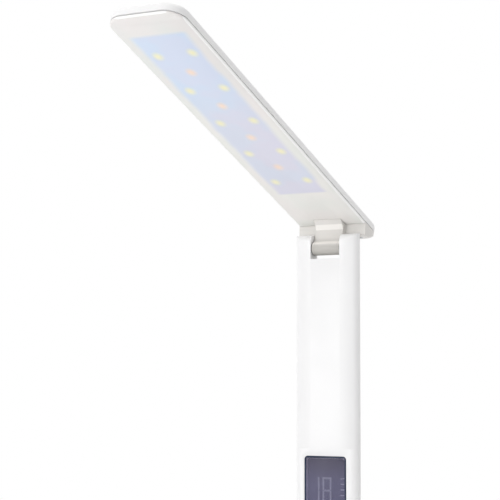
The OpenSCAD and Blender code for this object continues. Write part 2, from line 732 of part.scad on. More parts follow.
module cell_clip() color([0.82, 0.74, 0.5]) at_lower() translate([0, clock_back, cell_z]) {
    translate([-3, 0, -cell_d / 2 - 1]) cube([6, clip_t, cell_d + 1.6]);
    for (s = [-1, 1]) translate([s * (cell_d / 2 + 0.5) - 0.25, 0, -3]) cube([0.5, cell_t * 0.6, 6]);
    translate([-cell_d / 2 - 0.5, 0, -2]) cube([cell_d + 1, clip_t, 4]);
}

module cell_door() color(WHITE) at_lower() difference() {
    translate([0, arm_t / 2, door_z]) rotate([90, 0, 0]) slab(door_w, door_h, 2, arm_wall);
    translate([0, 0, door_z + door_h / 2 - 3]) {
        y_rod(screw_d + 2 * slip, 0, arm_t);
        y_rod(screw_head_d + 2 * slip, arm_t / 2 - bracket_head_t, arm_t);
    }
    for (i = [0:2]) translate([-5, arm_t / 2 - 0.4, door_z - door_h / 2 + 3 + i * 1.6]) cube([10, arm_t, 0.7]);
}

module cell_door_screw() color(STEEL) at_lower()
    translate([0, arm_t / 2 - bracket_head_t, door_z + door_h / 2 - 3]) rotate([-90, 0, 0])
        screw(screw_d, arm_t / 2 - bracket_head_t - clock_back, screw_head_d, bracket_head_t);

module lower_bracket() at_lower() mirror([0, 0, 1]) bracket();
module lower_bracket_screws() at_lower() mirror([0, 0, 1]) bracket_screws();
module lower_pin() at_lower() pin();
module lower_friction_washers() at_lower() friction_washers();
module lower_disc_springs() at_lower() disc_springs();
module lower_nut() at_lower() nut();
module upper_bracket() at_upper() bracket();
module upper_bracket_screws() at_upper() bracket_screws();
module upper_pin() at_upper() pin();
module upper_friction_washers() at_upper() friction_washers();
module upper_disc_springs() at_upper() disc_springs();
module upper_nut() at_upper() nut();

// Head, in its own frame: the far end towards -Y, the underside facing down

block_screw_at = [for (s = [-1, 1]) [s * (head_w / 2 - 8), 12]];
board_screw_at = [for (i = [0:2:led_pairs - 1]) [0, -led_first - i * led_pitch]];

module head_plan(inset) translate([0, (head_tail - head_reach) / 2])
    rounded_rect(head_w - 2 * inset, head_reach + head_tail - 2 * inset, head_corner - inset);

module head_layer(z, t, inset) translate([0, 0, z]) linear_extrude(t) head_plan(inset);

module head_top_cover() color(WHITE) at_head() difference() {
    union() {
        difference() {
            translate([0, (head_tail - head_reach) / 2, cover_z])
                soft_slab(head_w, head_reach + head_tail, head_corner, cover_h, cover_edge);
            head_layer(cover_z - past, roof_z - cover_z + past, cover_wall);
        }
        for (p = board_screw_at) translate([p[0], p[1], board_z + board_t])
            cylinder(d = boss_d, h = roof_z - board_z - board_t + 0.2);
        for (p = block_screw_at) translate([p[0], p[1], lip_z + rim_h])
            cylinder(d = boss_d, h = roof_z - lip_z - rim_h + 0.2);
    }
    for (p = board_screw_at) translate([p[0], p[1], board_z]) cylinder(d = screw_d + slip, h = roof_z - board_z + 0.6);
    for (p = block_screw_at) translate([p[0], p[1], lip_z]) cylinder(d = screw_d + slip, h = roof_z - lip_z + 0.6);
}

module diffuser() color(FROST) at_head() difference() {
    union() {
        hull() {
            head_layer(under_z, 0.01, lip_inset + 0.6, $fn = 48);
            head_layer(under_z + 0.6, diffuser_t - 0.6, lip_inset, $fn = 48);
        }
        difference() {
            head_layer(lip_z - 0.2, rim_h, rim_inset);
            head_layer(lip_z - past, rim_h + 2 * past, rim_inset + rim_t);
        }
    }
    translate([-head_w, -block_front, 0]) cube([2 * head_w, head_reach, 2 * head_top]);
    translate([-neck_w / 2 - neck_cut, -neck_t / 2 - flare - neck_cut, 0])
        cube([neck_w + 2 * neck_cut, head_reach, 2 * head_top]);
}

module head_hinge_block() color(WHITE) at_head() difference() {
    union() {
        intersection() {
            translate([-head_w / 2, 0, 0]) rotate([90, 0, 90]) linear_extrude(head_w)
                polygon([[0, lip_z], [0, under_z], [heel_front, under_z - heel_depth],
                    [heel_front + 3, under_z - heel_depth], [heel_back, under_z],
                    [head_tail - lip_inset, under_z + diffuser_t * 0.6], [head_tail - lip_inset, lip_z]]);
            head_layer(0, 2 * head_top, lip_inset);
        }
        intersection() {
            head_layer(lip_z - 0.2, rim_h + 0.2, rim_inset);
            translate([-head_w, 0, 0]) cube([2 * head_w, head_tail, 2 * head_top]);
        }
        translate([-neck_w / 2, 0, 0]) rotate([90, 0, 90]) linear_extrude(neck_w)
            polygon([[-neck_t / 2, 0], [neck_t / 2, 0], [neck_t / 2, lip_z + rim_h],
                [-neck_t / 2 - flare, lip_z + rim_h], [-neck_t / 2 - flare, under_z],
                [-neck_t / 2, under_z - flare]]);
        x_rod(barrel_d, -neck_w / 2, neck_w / 2);
    }
    x_rod(pin_d + 2 * pin_fit, -arm_w, arm_w);
    cylinder(d = channel_d, h = 2 * head_top);
    for (p = block_screw_at) translate([p[0], p[1], 0]) {
        cylinder(d = screw_d + 2 * slip, h = 2 * head_top);
        cylinder(d = screw_head_d + 2 * slip, h = under_z - heel_depth + 4.4);
    }
}

module hinge_block_screws() color(STEEL) at_head()
    for (p = block_screw_at) translate([p[0], p[1], under_z - heel_depth + 4.4])
        rotate([180, 0, 0]) screw(screw_d, roof_z - under_z + heel_depth - 4.4, screw_head_d, screw_head_t);

module led_board() color(BOARD) at_head() difference() {
    translate([-board_w / 2, -board_far, board_z]) cube([board_w, board_far - board_near, board_t]);
    for (p = board_screw_at) translate([p[0], p[1], board_z - past])
        cylinder(d = screw_d + 2 * slip, h = board_t + 2 * past);
}

module led(u, i) translate([u - led_w / 2, -led_first - i * led_pitch - led_l / 2, led_z])
    cube([led_w, led_l, led_h]);

module cool_leds() color([0.95, 0.93, 0.72]) at_head() for (s = [-1, 1], i = [0:led_pairs - 1]) led(s * led_side, i);

module warm_leds() color([0.97, 0.82, 0.6]) at_head() for (i = [0:led_pairs - 2]) led(0, i + 0.5);

module led_board_screws() color(STEEL) at_head()
    for (p = board_screw_at) translate([p[0], p[1], board_z])
        rotate([180, 0, 0]) screw(screw_d, roof_z - board_z, screw_head_d, led_h);

module head_lead() color([0.12, 0.12, 0.13]) at_head() {
    z = board_z + board_t + lead_d / 2;
    lead([[0, 0, pin_d / 2 + 0.6], [0, 0, z], [6, -10, z], [6, -board_near - 6, z]], lead_d);
}

base_pad();
base_bottom_cover();
base_top_cover();
base_screws();
ballast_plate();
ballast_screws();
touch_panel();
key_marks();
touch_springs();
control_board();
board_parts();
board_screws();
dc_jack();
base_lead();
base_neck();
base_neck_screws();
lower_bracket();
lower_pin();
lower_friction_washers();
lower_disc_springs();
lower_nut();
lower_bracket_screws();
arm_front_cover();
arm_rear_cover();
arm_screws();
arm_lead();
display_lens();
display_glass();
display_digits();
backlight_plate();
display_strips();
clock_board();
clock_chip();
button_switches();
alarm_buzzer();
set_button();
up_button();
down_button();
coin_cell();
cell_clip();
cell_door();
cell_door_screw();
upper_bracket();
upper_pin();
upper_friction_washers();
upper_disc_springs();
upper_nut();
upper_bracket_screws();
head_hinge_block();
hinge_block_screws();
head_top_cover();
diffuser();
led_board();
cool_leds();
warm_leds();
led_board_screws();
head_lead();
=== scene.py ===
import json
import math

import bmesh
import bpy
from mathutils import Matrix, Vector

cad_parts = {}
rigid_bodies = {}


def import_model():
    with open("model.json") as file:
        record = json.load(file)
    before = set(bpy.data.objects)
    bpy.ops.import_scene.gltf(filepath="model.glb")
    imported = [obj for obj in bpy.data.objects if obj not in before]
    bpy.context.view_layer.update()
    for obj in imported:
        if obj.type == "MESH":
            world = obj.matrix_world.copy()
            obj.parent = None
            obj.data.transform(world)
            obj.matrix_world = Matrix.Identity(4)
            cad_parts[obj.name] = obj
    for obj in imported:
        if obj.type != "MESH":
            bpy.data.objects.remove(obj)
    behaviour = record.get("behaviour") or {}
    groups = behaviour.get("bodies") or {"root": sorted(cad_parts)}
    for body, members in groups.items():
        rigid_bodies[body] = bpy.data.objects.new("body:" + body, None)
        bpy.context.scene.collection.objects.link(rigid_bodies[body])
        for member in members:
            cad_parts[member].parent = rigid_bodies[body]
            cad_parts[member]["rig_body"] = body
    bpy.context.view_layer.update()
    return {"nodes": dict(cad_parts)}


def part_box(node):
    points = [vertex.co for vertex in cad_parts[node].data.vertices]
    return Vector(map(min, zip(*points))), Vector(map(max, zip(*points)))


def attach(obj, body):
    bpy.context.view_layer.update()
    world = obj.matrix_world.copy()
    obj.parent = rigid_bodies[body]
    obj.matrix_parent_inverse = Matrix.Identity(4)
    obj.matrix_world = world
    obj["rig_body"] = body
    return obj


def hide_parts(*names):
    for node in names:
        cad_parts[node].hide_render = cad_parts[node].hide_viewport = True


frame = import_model()


# Camera. A long lens stands low to the right of the lamp and looks up a little, so that the
# underside of the head shows and the frame ends in the clock's display.
azimuth, pitch, roll = math.radians(28.533), math.radians(4.755), math.radians(0.132)
focal_pixels, picture_pixels = 1558.74, 500.0
camera_place = (0.44618, -0.86089, 0.22315)
flat_reach = math.cos(pitch)
ahead = Vector((-math.sin(azimuth) * flat_reach, math.cos(azimuth) * flat_reach, math.sin(pitch)))
level = Vector((math.cos(azimuth), math.sin(azimuth), 0.0))
plumb = level.cross(ahead)
right = level * math.cos(roll) + plumb * math.sin(roll)
upward = plumb * math.cos(roll) - level * math.sin(roll)
turn = Matrix((right, upward, -ahead)).transposed().to_4x4()
lens = bpy.data.cameras.new("camera")
lens.sensor_width = 36.0
lens.lens = focal_pixels * 36.0 / picture_pixels
lens.clip_end = 30.0
camera = bpy.data.objects.new("camera", lens)
camera.matrix_world = Matrix.Translation(camera_place) @ turn
bpy.context.scene.collection.objects.link(camera)
bpy.context.scene.camera = camera
bpy.context.scene.view_settings.view_transform = "Standard"


# Table and backdrop. A wide pale table that runs out of sight, under a white surround. Both look
# white to the camera, and the table keeps the lamp's soft shadow. From below it isn't seen.
class Sum:
    """A number worked out by nodes, with a Math node for each operator."""

    def __init__(self, nodes, socket):
        self.nodes, self.socket = nodes, socket

    def math(self, operation, *values):
        made = self.nodes.add("ShaderNodeMath", {"operation": operation}, dict(enumerate(values)))
        return Sum(self.nodes, made.outputs[0])

    def __add__(self, other):
        return self.math("ADD", self, other)

    def __sub__(self, other):
        return self.math("SUBTRACT", self, other)

    def __rsub__(self, other):
        return self.math("SUBTRACT", other, self)

    def __mul__(self, other):
        return self.math("MULTIPLY", self, other)

    def __truediv__(self, other):
        return self.math("DIVIDE", self, other)

    def __neg__(self):
        return self.math("MULTIPLY", self, -1.0)

    def __abs__(self):
        return self.math("ABSOLUTE", self)

    __radd__, __rmul__ = __add__, __mul__

    def least(self, other):
        return self.math("MINIMUM", self, other)

    def most(self, other):
        return self.math("MAXIMUM", self, other)

    def root(self):
        return self.math("SQRT", self)

    def whole(self):
        return self.math("ROUND", self)

    def ramp(self, start, end):
        """0 at the start, 1 at the end and a smooth step between, whichever of them is higher."""
        made = self.nodes.add(
            "ShaderNodeMapRange",
            {"interpolation_type": "SMOOTHSTEP", "clamp": True},
            {"Value": self, "From Min": start, "From Max": end},
        )
        return Sum(self.nodes, made.outputs["Result"])


class Nodes:
    """A tree of nodes, with one way to add a node: its kind, its settings, then its sockets."""

    def __init__(self, tree):
        self.tree = tree
        tree.nodes.clear()

    def add(self, kind, settings=None, sockets=None):
        node = self.tree.nodes.new(kind)
        for name, value in (settings or {}).items():
            setattr(node, name, value)
        for name, value in (sockets or {}).items():
            socket = node.inputs[name]
            if isinstance(value, Sum):
                self.tree.links.new(value.socket, socket)
            elif isinstance(value, bpy.types.NodeSocket):
                self.tree.links.new(value, socket)
            elif socket.type == "RGBA" and len(value) == 3:
                socket.default_value = (*value, 1.0)
            else:
                socket.default_value = value
        return node

    def background_rays(self):
        """1 for the rays that show the background: from the camera, or off metal and glass."""
        rays = self.add("ShaderNodeLightPath").outputs
        seen = Sum(self, rays["Is Camera Ray"])
        return seen.most(rays["Is Glossy Ray"]).most(rays["Is Transmission Ray"])


class Finish(Nodes):
    """A material whose patterns lie on the piece's own coordinates, in metres."""

    def __init__(self, name):
        self.material = bpy.data.materials.new(name)
        self.material.use_nodes = True
        super().__init__(self.material.node_tree)
        self.place = self.add("ShaderNodeTexCoord").outputs["Object"]

    def axes(self, origin=(0, 0, 0), tilt=0.0):
        """The piece's coordinates about an origin, turned about X by a tilt: three numbers."""
        turned = self.add(
            "ShaderNodeMapping",
            {"vector_type": "TEXTURE"},
            {"Vector": self.place, "Location": origin, "Rotation": (tilt, 0.0, 0.0)},
        )
        split = self.add("ShaderNodeSeparateXYZ", None, {0: turned.outputs[0]})
        return [Sum(self, socket) for socket in split.outputs]

    def grain(self, size, detail=3.0, stretch=(1, 1, 1)):
        """Even random shade from 0 to 1, with features of a size in metres."""
        place = self.place
        if stretch != (1, 1, 1):
            mapping = self.add("ShaderNodeMapping", None, {"Vector": place, "Scale": stretch})
            place = mapping.outputs[0]
        noise = self.add(
            "ShaderNodeTexNoise",
            {"noise_dimensions": "3D"},
            {"Vector": place, "Scale": 1.0 / size, "Detail": detail, "Roughness": 0.55},
        )
        return Sum(self, noise.outputs["Fac"])

    def blend(self, factor, first, second):
        mix = self.add(
            "ShaderNodeMix", {"data_type": "RGBA"}, {"Factor": factor, "A": first, "B": second}
        )
        return mix.outputs["Result"]

    def bump(self, height, depth, strength):
        sockets = {"Height": height, "Distance": depth, "Strength": strength}
        return self.add("ShaderNodeBump", None, sockets).outputs["Normal"]

    def mixed(self, factor, first, second):
        return self.add(
            "ShaderNodeMixShader", None, {0: factor, 1: first.outputs[0], 2: second.outputs[0]}
        )

    def show(self, shader):
        self.add("ShaderNodeOutputMaterial", None, {"Surface": shader.outputs[0]})

    def surface(self, **sockets):
        named = {name.replace("_", " "): value for name, value in sockets.items()}
        self.show(self.add("ShaderNodeBsdfPrincipled", None, named))


def mesh_piece(name, points, faces, material):
    mesh = bpy.data.meshes.new(name)
    mesh.from_pydata([Vector(point) for point in points], [], faces)
    mesh.materials.append(material)
    mesh.update()
    piece = bpy.data.objects.new(name, mesh)
    bpy.context.scene.collection.objects.link(piece)
    return piece


table = Finish("pale_table")
table_white = table.blend(table.grain(0.25), (0.9, 0.9, 0.9), (0.94, 0.94, 0.94))
lit = table.add("ShaderNodeBsdfDiffuse", None, {"Color": table_white})
plain = table.add("ShaderNodeEmission", None, {"Color": (1.0, 1.0, 1.0), "Strength": 1.0})
across, deep, _ = table.axes()
far_off = (across * across + deep * deep).root().ramp(0.3, 1.2)
shadow_share = 0.22
whiteness = far_off * shadow_share + (1.0 - shadow_share)
both = table.mixed(table.background_rays() * whiteness, lit, plain)
beneath = table.add("ShaderNodeNewGeometry").outputs["Backfacing"]
table.show(table.mixed(beneath, both, table.add("ShaderNodeBsdfTransparent")))
reach, table_z = 6.0, -0.0003
corners = [(-reach, -reach), (reach, -reach), (reach, reach), (-reach, reach)]
table_top = mesh_piece(
    "table_top", [(*corner, table_z) for corner in corners], [(0, 1, 2, 3)], table.material
)

surround = bpy.data.worlds.new("white_surround")
surround.use_nodes = True
sky = Nodes(surround.node_tree)
heading = sky.add(
    "ShaderNodeSeparateXYZ", None, {0: sky.add("ShaderNodeTexCoord").outputs["Generated"]}
)
left_strength, right_strength = 0.78, 0.38
low_strength, high_strength = 0.97, 1.2
to_right = Sum(sky, heading.outputs["X"]).ramp(0.1, 0.9)
to_top = Sum(sky, heading.outputs["Z"]).most(0.0).least(1.0)
sideways = to_right * (right_strength - left_strength) + left_strength
strength = sideways * (to_top * (high_strength - low_strength) + low_strength)
soft = sky.add("ShaderNodeBackground", None, {"Color": (1.0, 0.995, 0.99), "Strength": strength})
pure = sky.add("ShaderNodeBackground", None, {"Color": (1.0, 1.0, 1.0), "Strength": 1.0})
dome = sky.add(
    "ShaderNodeMixShader",
    None,
    {0: sky.background_rays(), 1: soft.outputs[0], 2: pure.outputs[0]},
)
sky.add("ShaderNodeOutputWorld", None, {"Surface": dome.outputs[0]})
bpy.context.scene.world = surround


# Lamps of the studio. A broad soft box in front and to the left lights the arm's face, a weaker
# one near the table lifts the underside of the head, and one overhead rims the head's cover.
def soft_box(name, place, target, width, height, power):
    light = bpy.data.lights.new(name, "AREA")
    light.shape, light.size, light.size_y, light.energy = "RECTANGLE", width, height, power
    box = bpy.data.objects.new(name, light)
    aim = (Vector(place) - Vector(target)).to_track_quat("Z", "Y").to_matrix().to_4x4()
    box.matrix_world = Matrix.Translation(place) @ aim
    bpy.context.scene.collection.objects.link(box)


soft_box("front_box", (-1.0, -2.0, 0.70), (0.0, 0.06, 0.5), width=0.5, height=1.15, power=11.2)
soft_box("low_box", (-0.1, -1.7, 0.12), (0.0, -0.05, 0.35), width=0.8, height=0.5, power=1.8)
soft_box("top_box", (0.3, 0.2, 2.0), (0.0, 0.0, 0.3), width=1.0, height=1.0, power=7.5)


# White mouldings: the covers of the head, the arm and the base, the neck tower, the cell's door
# and the buttons. Satin white plastic from a finely etched mould, screwed or snapped together.
shell = Finish("white_shell")
shell_flow, shell_etch = shell.grain(0.05, 2.0), shell.grain(0.00035, 2.0)
shell_white = (0.88, 0.88, 0.885)
shell_shade = [channel * 0.975 for channel in shell_white]
shell.surface(
    Base_Color=shell.blend(shell_flow.ramp(0.3, 0.7), shell_white, shell_shade),
    Roughness=0.3 + shell_flow * 0.06 + shell_etch * 0.05,
    Specular_IOR_Level=0.45,
    Coat_Weight=0.04,
    Normal=shell.bump(shell_etch, 0.00001, 0.5),
)

# The head's own frame: its origin is the upper pivot, and -Y points along the head.
head_rise = math.radians(21.0)
pivot = Vector((0.0, 0.068, 0.31))
head_turn = Matrix.Translation(pivot) @ Matrix.Rotation(-head_rise, 4, "X")
weld = 2e-6


def bake(piece):
    """Keeps what a piece's modifiers make as its plain mesh."""
    ready = piece.evaluated_get(bpy.context.evaluated_depsgraph_get())
    made = bpy.data.meshes.new_from_object(ready)
    piece.modifiers.clear()
    piece.data = made
    made.name = piece.name


def close_seam(work, gap):
    """Moves the side walls of the head's underside out, and its lip up, to narrow the seam."""
    wall_top, lip_z, lip_side, lip_end, far_lip = 0.0182, 0.0185, 0.0225, 0.021, -0.255
    lip_rise = Vector((0.0, 0.0, 0.0002))
    to_head = head_turn.inverted()
    shift = {}
    for face in work.faces:
        facing = to_head.to_3x3() @ face.normal
        middle = to_head @ face.calc_center_median()
        outer = abs(middle.x) > lip_side or abs(middle.y) > lip_end
        if abs(facing.z) < 0.3 and middle.z < wall_top and outer:
            for corner in face.verts:
                shift[corner] = shift.get(corner, Vector()) + face.normal
    for corner, way in shift.items():
        out = way.normalized()
        corner.co += out * gap * abs(out.x)
    for corner in work.verts:
        at = to_head @ corner.co
        outer = abs(at.x) > lip_side or at.y < far_lip or at.y > lip_side
        if abs(at.z - lip_z) < 5e-5 and outer:
            corner.co += head_turn.to_3x3() @ lip_rise


def eased(node, name, material, ease=0.0, cutter=None, seam=0.0, rounded=None):
    """A copy of a CAD node with its loose triangles merged, its edges eased and curves smooth."""
    sharp = math.radians(32.0)
    source = frame["nodes"][node]
    work = bmesh.new()
    work.from_mesh(source.data)
    bmesh.ops.remove_doubles(work, verts=work.verts, dist=weld)
    bmesh.ops.dissolve_limit(
        work,
        angle_limit=math.radians(0.4),
        use_dissolve_boundaries=False,
        verts=work.verts,
        edges=work.edges,
    )
    if seam:
        close_seam(work, seam)
    if rounded:
        bmesh.ops.bevel(
            work,
            geom=[edge for edge in work.edges if all(rounded(v.co) for v in edge.verts)],
            offset=0.0012,
            segments=4,
            profile=0.5,
            affect="EDGES",
            clamp_overlap=True,
        )
    piece = mesh_piece(name, [], [], material)
    work.to_mesh(piece.data)
    work.free()
    if cutter:
        cut = piece.modifiers.new("relief", "BOOLEAN")
        cut.operation, cut.solver, cut.object = "DIFFERENCE", "EXACT", cutter
        bake(piece)
        bpy.data.objects.remove(cutter)
    if ease:
        edge = piece.modifiers.new("eased_edges", "BEVEL")
        edge.width, edge.segments, edge.limit_method = ease, 2, "ANGLE"
        edge.angle_limit = sharp
        edge.use_clamp_overlap = True
        edge.miter_outer = "MITER_ARC"
        bake(piece)
    piece.data.polygons.foreach_set("use_smooth", [True] * len(piece.data.polygons))
    piece.data.set_sharp_from_angle(angle=sharp)
    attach(piece, source["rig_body"])
    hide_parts(node)
    return piece


def ear_corner(at):
    """Whether a point lies on the inner upper corner of one of the arm's two top ears."""
    notch_side, ear_z, half_thickness = 0.0105, 0.3142, 0.0049
    beside_notch = abs(abs(at.x) - notch_side) < 1e-5
    return beside_notch and at.z > ear_z and abs(at.y - pivot.y) < half_thickness


for node, name, ease in (
    ("head_top_cover", "head_shell", 0.0),
    ("arm_front_cover", "arm_face", 0.00035),
    ("arm_rear_cover", "arm_back", 0.00035),
    ("base_top_cover", "base_shell", 0.0),
    ("base_bottom_cover", "base_tray", 0.0003),
    ("base_neck", "base_tower", 0.0),
    ("cell_door", "cell_lid", 0.0002),
    ("set_button", "button_set", 0.0003),
    ("up_button", "button_up", 0.0003),
    ("down_button", "button_down", 0.0003),
):
    corner_test = ear_corner if node.startswith("arm_") else None
    eased(node, name, shell.material, ease, rounded=corner_test)


# Heel and neck: one moulding that carries the head on the arm's upper pin. The neck's front is
# relieved between the barrel and a chamfer under the heel, so that the barrel stands proud.
barrel_r, relief_y, neck_half, relief_half = 0.0046, -0.00235, 0.0101, 0.0112
chamfer_low, chamfer_high, heel_z = 0.0124, 0.0150, 0.0171
arc_steps = 12
arc_end = math.acos(-relief_y / barrel_r)
profile = [
    (relief_y, chamfer_low),
    (-0.0049, chamfer_high),
    (-0.0084, heel_z),
    (-0.016, heel_z),
    (-0.016, -0.0005),
]
for step in range(arc_steps + 1):
    angle = arc_end * step / arc_steps
    profile.append((-barrel_r * math.cos(angle), barrel_r * math.sin(angle)))
count = len(profile)
points = [head_turn @ Vector((x, y, z)) for x in (-relief_half, relief_half) for y, z in profile]
faces = [tuple(range(count)), tuple(range(2 * count - 1, count - 1, -1))]
faces += [(i, i + count, (i + 1) % count + count, (i + 1) % count) for i in range(count)]
relief = mesh_piece("relief", points, faces, shell.material)
turned_out = bmesh.new()
turned_out.from_mesh(relief.data)
bmesh.ops.recalc_face_normals(turned_out, faces=turned_out.faces)
turned_out.to_mesh(relief.data)
turned_out.free()

hinge = Finish("hinge_moulding")
hx, hy, hz = hinge.axes(pivot, -head_rise)
hinge_flow, hinge_etch = hinge.grain(0.02, 2.0), hinge.grain(0.0005, 2.0)
on_neck = abs(hx).ramp(neck_half, 0.0099)
sleeve = (hy * hy + hz * hz).root().ramp(0.00475, 0.00462) * on_neck
# Painted shade and highlight on the barrel: its lower side is painted darker, and its upper front
# side lighter.
barrel_painted_shade = hz.ramp(0.0016, -0.0012) * sleeve
barrel_painted_highlight = hz.ramp(0.0006, 0.0018) * hy.ramp(0.001, -0.0005) * sleeve
collar = abs(abs(hx) - 0.0083).ramp(0.00022, 0.00008) * sleeve
# Painted shade: the neck's front is painted darker just above the barrel, where it meets it.
crease_painted_shade = hz.ramp(0.0072, 0.0046) * (1.0 - sleeve) * on_neck
# Painted highlight: the slanted face under the heel is painted lighter.
chamfer_painted_highlight = hz.ramp(0.0122, 0.0126) * hz.ramp(0.0153, 0.0149) * hy.ramp(-0.0023, -0.0025) * on_neck
shade = hinge.blend(hinge_flow.ramp(0.3, 0.7), (0.75, 0.73, 0.705), (0.72, 0.705, 0.675))
for mask, tone in (
    (crease_painted_shade * 0.6, (0.58, 0.56, 0.53)),
    (barrel_painted_highlight * 0.9, (0.93, 0.90, 0.86)),
    (barrel_painted_shade * 0.85, (0.47, 0.455, 0.425)),
    (collar * 0.35, (0.4, 0.39, 0.37)),
    (chamfer_painted_highlight * 0.9, (0.94, 0.92, 0.89)),
):
    shade = hinge.blend(mask, shade, tone)
hinge.surface(
    Base_Color=shade,
    Roughness=0.3 + hinge_flow * 0.08 + hinge_etch * 0.05,
    Specular_IOR_Level=0.5,
    Normal=hinge.bump(hinge_etch * 0.05 - collar, 0.00015, 0.4),
)
seam_gap = 0.0004
heel = eased(
    "head_hinge_block", "heel_and_neck", hinge.material, 0.00022, cutter=relief, seam=seam_gap
)


# Diffuser: a frosted plate that snaps into the head and closes its underside. The bluish LED
# board shows through it as a soft field, and each LED as a blurred yellow or orange spot.
frost = Finish("frosted_diffuser")
side_way, long_way, _ = frost.axes(pivot, -head_rise)
out_along = -long_way
led_first, led_pitch, led_side, led_pairs = 0.0638, 0.0382, 0.0112, 5
haze = frost.grain(0.03, 2.0)
edge = abs(side_way) + (haze - 0.5) * 0.005
ends = out_along.ramp(0.0455, 0.0485) * out_along.ramp(0.2390, 0.2350)
field = edge.ramp(0.0194, 0.0148) * ends


def led_spots(side, offset, count):
    """Soft spots at the LEDs of one row, from the distance along and across to the nearest LED."""
    step = (out_along - led_first) / led_pitch - offset
    nearest = step.whole().most(0.0).least(count - 1.0)
    along = (step - nearest) * led_pitch
    across = abs(side_way) - side if side else side_way
    return (across * across * 1.5 + along * along * 0.9).root().ramp(0.0054, 0.0004)


cool_spots = led_spots(led_side, 0.0, led_pairs)
warm_spots = led_spots(0.0, 0.5, led_pairs - 1)
far_half = out_along.ramp(0.12, 0.20)
dim, blot = frost.grain(0.05, 2.0).ramp(0.35, 0.65), haze.ramp(0.4, 0.6)
near_grey = frost.blend(dim, (0.855, 0.865, 0.83), (0.895, 0.865, 0.845))
far_grey = frost.blend(dim, (0.80, 0.82, 0.80), (0.85, 0.82, 0.81))
near_blue = frost.blend(blot, (0.695, 0.735, 0.855), (0.725, 0.72, 0.835))
far_blue = frost.blend(blot, (0.65, 0.76, 0.92), (0.68, 0.745, 0.90))
margin = frost.blend(far_half, near_grey, far_grey)
plate = frost.blend(field, margin, frost.blend(far_half, near_blue, far_blue))
# Painted highlight: a thin line along the plate's outer edge is painted near white, whiter than the
# white shell.
rim_painted_highlight = abs(side_way).ramp(0.0230, 0.0233).most(out_along.ramp(0.2557, 0.2560))
for mask, tone in (
    (cool_spots * 0.88, (0.93, 0.90, 0.56)),
    (warm_spots * 0.88, (0.97, 0.76, 0.60)),
    (rim_painted_highlight, (0.97, 0.97, 0.965)),
):
    plate = frost.blend(mask, plate, tone)
frost.surface(
    Base_Color=plate,
    Roughness=0.42 + frost.grain(0.02) * 0.08,
    Specular_IOR_Level=0.4,
    Normal=frost.bump(frost.grain(0.0006, 2.0), 0.00001, 0.4),
)
eased("diffuser", "frosted_plate", frost.material, 0.0003, seam=seam_gap)


# LED board: white-masked board screwed under the head's cover, with two outer rows of cool LEDs
# and one middle row of warm ones. Each LED is a white case with a well of phosphor.
def dress(material, *nodes):
    """Gives CAD nodes a material."""
    for node in nodes:
        slots = frame["nodes"][node].data.materials
        slots.clear()
        slots.append(material)


board = Finish("white_board")
trace = board.add(
    "ShaderNodeTexBrick",
    None,
    {
        "Vector": board.place,
        "Scale": 60.0,
        "Color1": (0.9, 0.93, 0.99),
        "Color2": (0.87, 0.9, 0.97),
        "Mortar": (0.8, 0.84, 0.9),
    },
)
board.surface(Base_Color=trace.outputs["Color"], Roughness=0.4 + board.grain(0.01) * 0.1)
dress(board.material, "led_board")

case = Finish("led_case")
case.surface(
    Base_Color=case.blend(case.grain(0.0005), (0.9, 0.9, 0.88), (0.84, 0.84, 0.82)),
    Roughness=0.35 + case.grain(0.001) * 0.1,
)


def phosphor_finish(name, middle, edge):
    led = Finish(name)
    fleck = led.grain(0.0003, 3.0)
    led.surface(
        Base_Color=led.blend(fleck.ramp(0.3, 0.7), middle, edge), Roughness=0.3 + fleck * 0.2
    )
    return led.material


class Layout(Nodes):
    """A tree of geometry nodes with named sizes, which are its inputs."""

    def __init__(self, name, takes_mesh=False, **sizes):
        super().__init__(bpy.data.node_groups.new(name, "GeometryNodeTree"))
        self.tree.is_modifier = True
        if takes_mesh:
            self.socket("Geometry", "INPUT", "NodeSocketGeometry")
        for label, value in sizes.items():
            kind = "NodeSocketInt" if isinstance(value, int) else "NodeSocketFloat"
            self.socket(label, "INPUT", kind).default_value = value
        self.socket("Geometry", "OUTPUT", "NodeSocketGeometry")
        self.given = self.add("NodeGroupInput").outputs

    def socket(self, label, way, kind):
        return self.tree.interface.new_socket(label, in_out=way, socket_type=kind)

    def sizes(self, *labels):
        return [Sum(self, self.given[label]) for label in labels]

    def vector(self, x=0.0, y=0.0, z=0.0):
        return self.add("ShaderNodeCombineXYZ", None, {0: x, 1: y, 2: z}).outputs[0]

    def moved(self, geometry, move=(0.0, 0.0, 0.0), turn=(0.0, 0.0, 0.0)):
        sockets = {"Geometry": geometry, "Translation": move, "Rotation": turn}
        return self.add("GeometryNodeTransform", None, sockets).outputs[0]

    def joined(self, *parts):
        join = self.add("GeometryNodeJoinGeometry")
        for part in parts:
            self.tree.links.new(part, join.inputs[0])
        return join.outputs[0]

    def end(self, geometry, material, **marked):
        """Realizes the instances and sets one material, and others on the faces of marked parts."""
        made = self.add("GeometryNodeRealizeInstances", None, {0: geometry})
        made = self.add(
            "GeometryNodeSetMaterial", None, {"Geometry": made.outputs[0], "Material": material}
        )
        for mark, other in marked.items():
            here = self.add(
                "GeometryNodeInputNamedAttribute", {"data_type": "BOOLEAN"}, {"Name": mark}
            )
            made = self.add(
                "GeometryNodeSetMaterial",
                None,
                {
                    "Geometry": made.outputs[0],
                    "Selection": here.outputs["Attribute"],
                    "Material": other,
                },
            )
        self.tree.links.new(made.outputs[0], self.add("NodeGroupOutput").inputs[0])


def grow(piece, layout, **sizes):
    """Runs a layout on a piece, with these sizes in place of its own."""
    growth = piece.modifiers.new("layout", "NODES")
    growth.node_group = layout.tree
    for item in layout.tree.interface.items_tree:
        if item.in_out == "INPUT" and item.name in sizes:
            growth[item.identifier] = sizes[item.name]
    piece.update_tag()
    bake(piece)
    if piece.data.materials[0] is None:
        piece.data.materials.pop(index=0)


